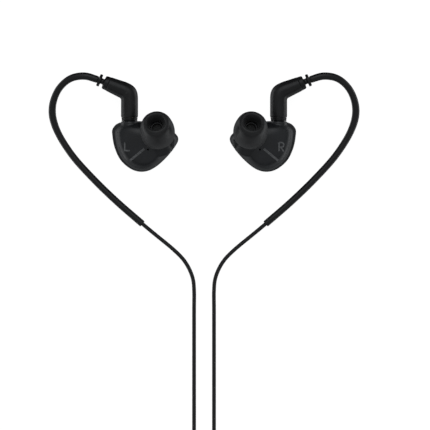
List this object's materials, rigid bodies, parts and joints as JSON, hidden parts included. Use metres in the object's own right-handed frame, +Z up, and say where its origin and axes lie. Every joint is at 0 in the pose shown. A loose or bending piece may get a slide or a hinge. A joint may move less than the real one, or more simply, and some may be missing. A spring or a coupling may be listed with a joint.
{
  "type": "in ear monitors",
  "caption": "Stage in-ear monitors: glossy triangular earpieces with soft tips on swivelling push-in plugs, formed over-ear hooks and a shared cable with a three-pole jack.",
  "frame": {"origin": "on the surface the monitors lie on, under the middle of the pair of earpieces and hooks", "axes": "+X from the left ear's piece to the right ear's, +Y away from the shared cable, +Z up, from the flat outer shells to the ear tips"},
  "size_m": [0.1136, 0.2467, 0.0231],
  "materials": {
    "shell": "gloss, moulded, lightly handled",
    "ear_tip": "satin silicone",
    "nozzle": "satin",
    "screen_mesh": "woven mesh",
    "plug_moulding": "semi-gloss elastomer",
    "plug_collar": "satin black",
    "hook_sleeve": "semi-gloss tube",
    "cable_jacket": "satin jacket",
    "plated_contact": "gold plated",
    "spring_steel": "satin",
    "driver_can": "satin",
    "circuit_board": "solder mask",
    "insulator": "satin",
    "jack_insulator": "satin",
    "slider": "satin",
    "split_moulding": "satin",
    "jack_moulding": "satin with fine texture",
    "strap": "woven hook-and-loop"
  },
  "bodies": {
    "cable_harness": {"left_plug_elbow": "plug_moulding", "left_plug_collar": "plug_collar", "left_plug_barrel": "plated_contact", "left_plug_insulator": "insulator", "left_plug_pin": "plated_contact", "left_strain_relief": "plug_moulding", "left_ear_hook": "hook_sleeve", "left_hook_lead": "cable_jacket", "left_cable": "cable_jacket", "left_cable_coil": "cable_jacket", "left_coil_tie": "strap", "left_cable_end": "cable_jacket", "right_plug_elbow": "plug_moulding", "right_plug_collar": "plug_collar", "right_plug_barrel": "plated_contact", "right_plug_insulator": "insulator", "right_plug_pin": "plated_contact", "right_strain_relief": "plug_moulding", "right_ear_hook": "hook_sleeve", "right_hook_lead": "cable_jacket", "right_cable": "cable_jacket", "right_cable_coil": "cable_jacket", "right_coil_tie": "strap", "right_cable_end": "cable_jacket", "y_split": "split_moulding", "main_cable": "cable_jacket", "main_cable_coil": "cable_jacket", "main_coil_tie": "strap", "main_cable_end": "cable_jacket", "jack_strain_relief": "jack_moulding", "jack_handle": "jack_moulding", "jack_sleeve": "plated_contact", "jack_ring": "plated_contact", "jack_insulator": "jack_insulator", "jack_tip": "plated_contact"},
    "left_swivel": {"left_snap_ring": "spring_steel"},
    "left_earpiece": {"left_outer_shell": "shell", "left_inner_shell": "shell", "left_bass_driver": "driver_can", "left_treble_driver": "driver_can", "left_crossover_board": "circuit_board", "left_nozzle_tube": "nozzle", "left_nozzle_screen": "screen_mesh", "left_socket_barrel": "plated_contact", "left_socket_insulator": "insulator", "left_socket_contact": "plated_contact"},
    "left_tip": {"left_ear_tip": "ear_tip"},
    "right_swivel": {"right_snap_ring": "spring_steel"},
    "right_earpiece": {"right_outer_shell": "shell", "right_inner_shell": "shell", "right_bass_driver": "driver_can", "right_treble_driver": "driver_can", "right_crossover_board": "circuit_board", "right_nozzle_tube": "nozzle", "right_nozzle_screen": "screen_mesh", "right_socket_barrel": "plated_contact", "right_socket_insulator": "insulator", "right_socket_contact": "plated_contact"},
    "right_tip": {"right_ear_tip": "ear_tip"},
    "slider": {"chin_slider": "slider"}
  },
  "joints": [
    {"name": "left_swivel_turn", "type": "hinge", "parent": "cable_harness", "child": "left_swivel", "pos_m": [-0.0272, 0, 0.0059], "axis": [0, 1, 0], "continuous": true},
    {"name": "left_plug_pull", "type": "slide", "parent": "left_swivel", "child": "left_earpiece", "axis": [0, -1, 0], "range_m": [0, 0.0045]},
    {"name": "left_tip_pull", "type": "slide", "parent": "left_earpiece", "child": "left_tip", "axis": [-0.1, 0.5151, 0.8512], "range_m": [0, 0.008]},
    {"name": "right_swivel_turn", "type": "hinge", "parent": "cable_harness", "child": "right_swivel", "pos_m": [0.0272, 0, 0.0059], "axis": [0, 1, 0], "continuous": true},
    {"name": "right_plug_pull", "type": "slide", "parent": "right_swivel", "child": "right_earpiece", "axis": [0, -1, 0], "range_m": [0, 0.0045]},
    {"name": "right_tip_pull", "type": "slide", "parent": "right_earpiece", "child": "right_tip", "axis": [0.1, 0.5151, 0.8512], "range_m": [0, 0.008]},
    {"name": "chin_slider_slide", "type": "slide", "parent": "cable_harness", "child": "slider", "axis": [0, 1, 0], "range_m": [0, 0.014]}
  ]
}
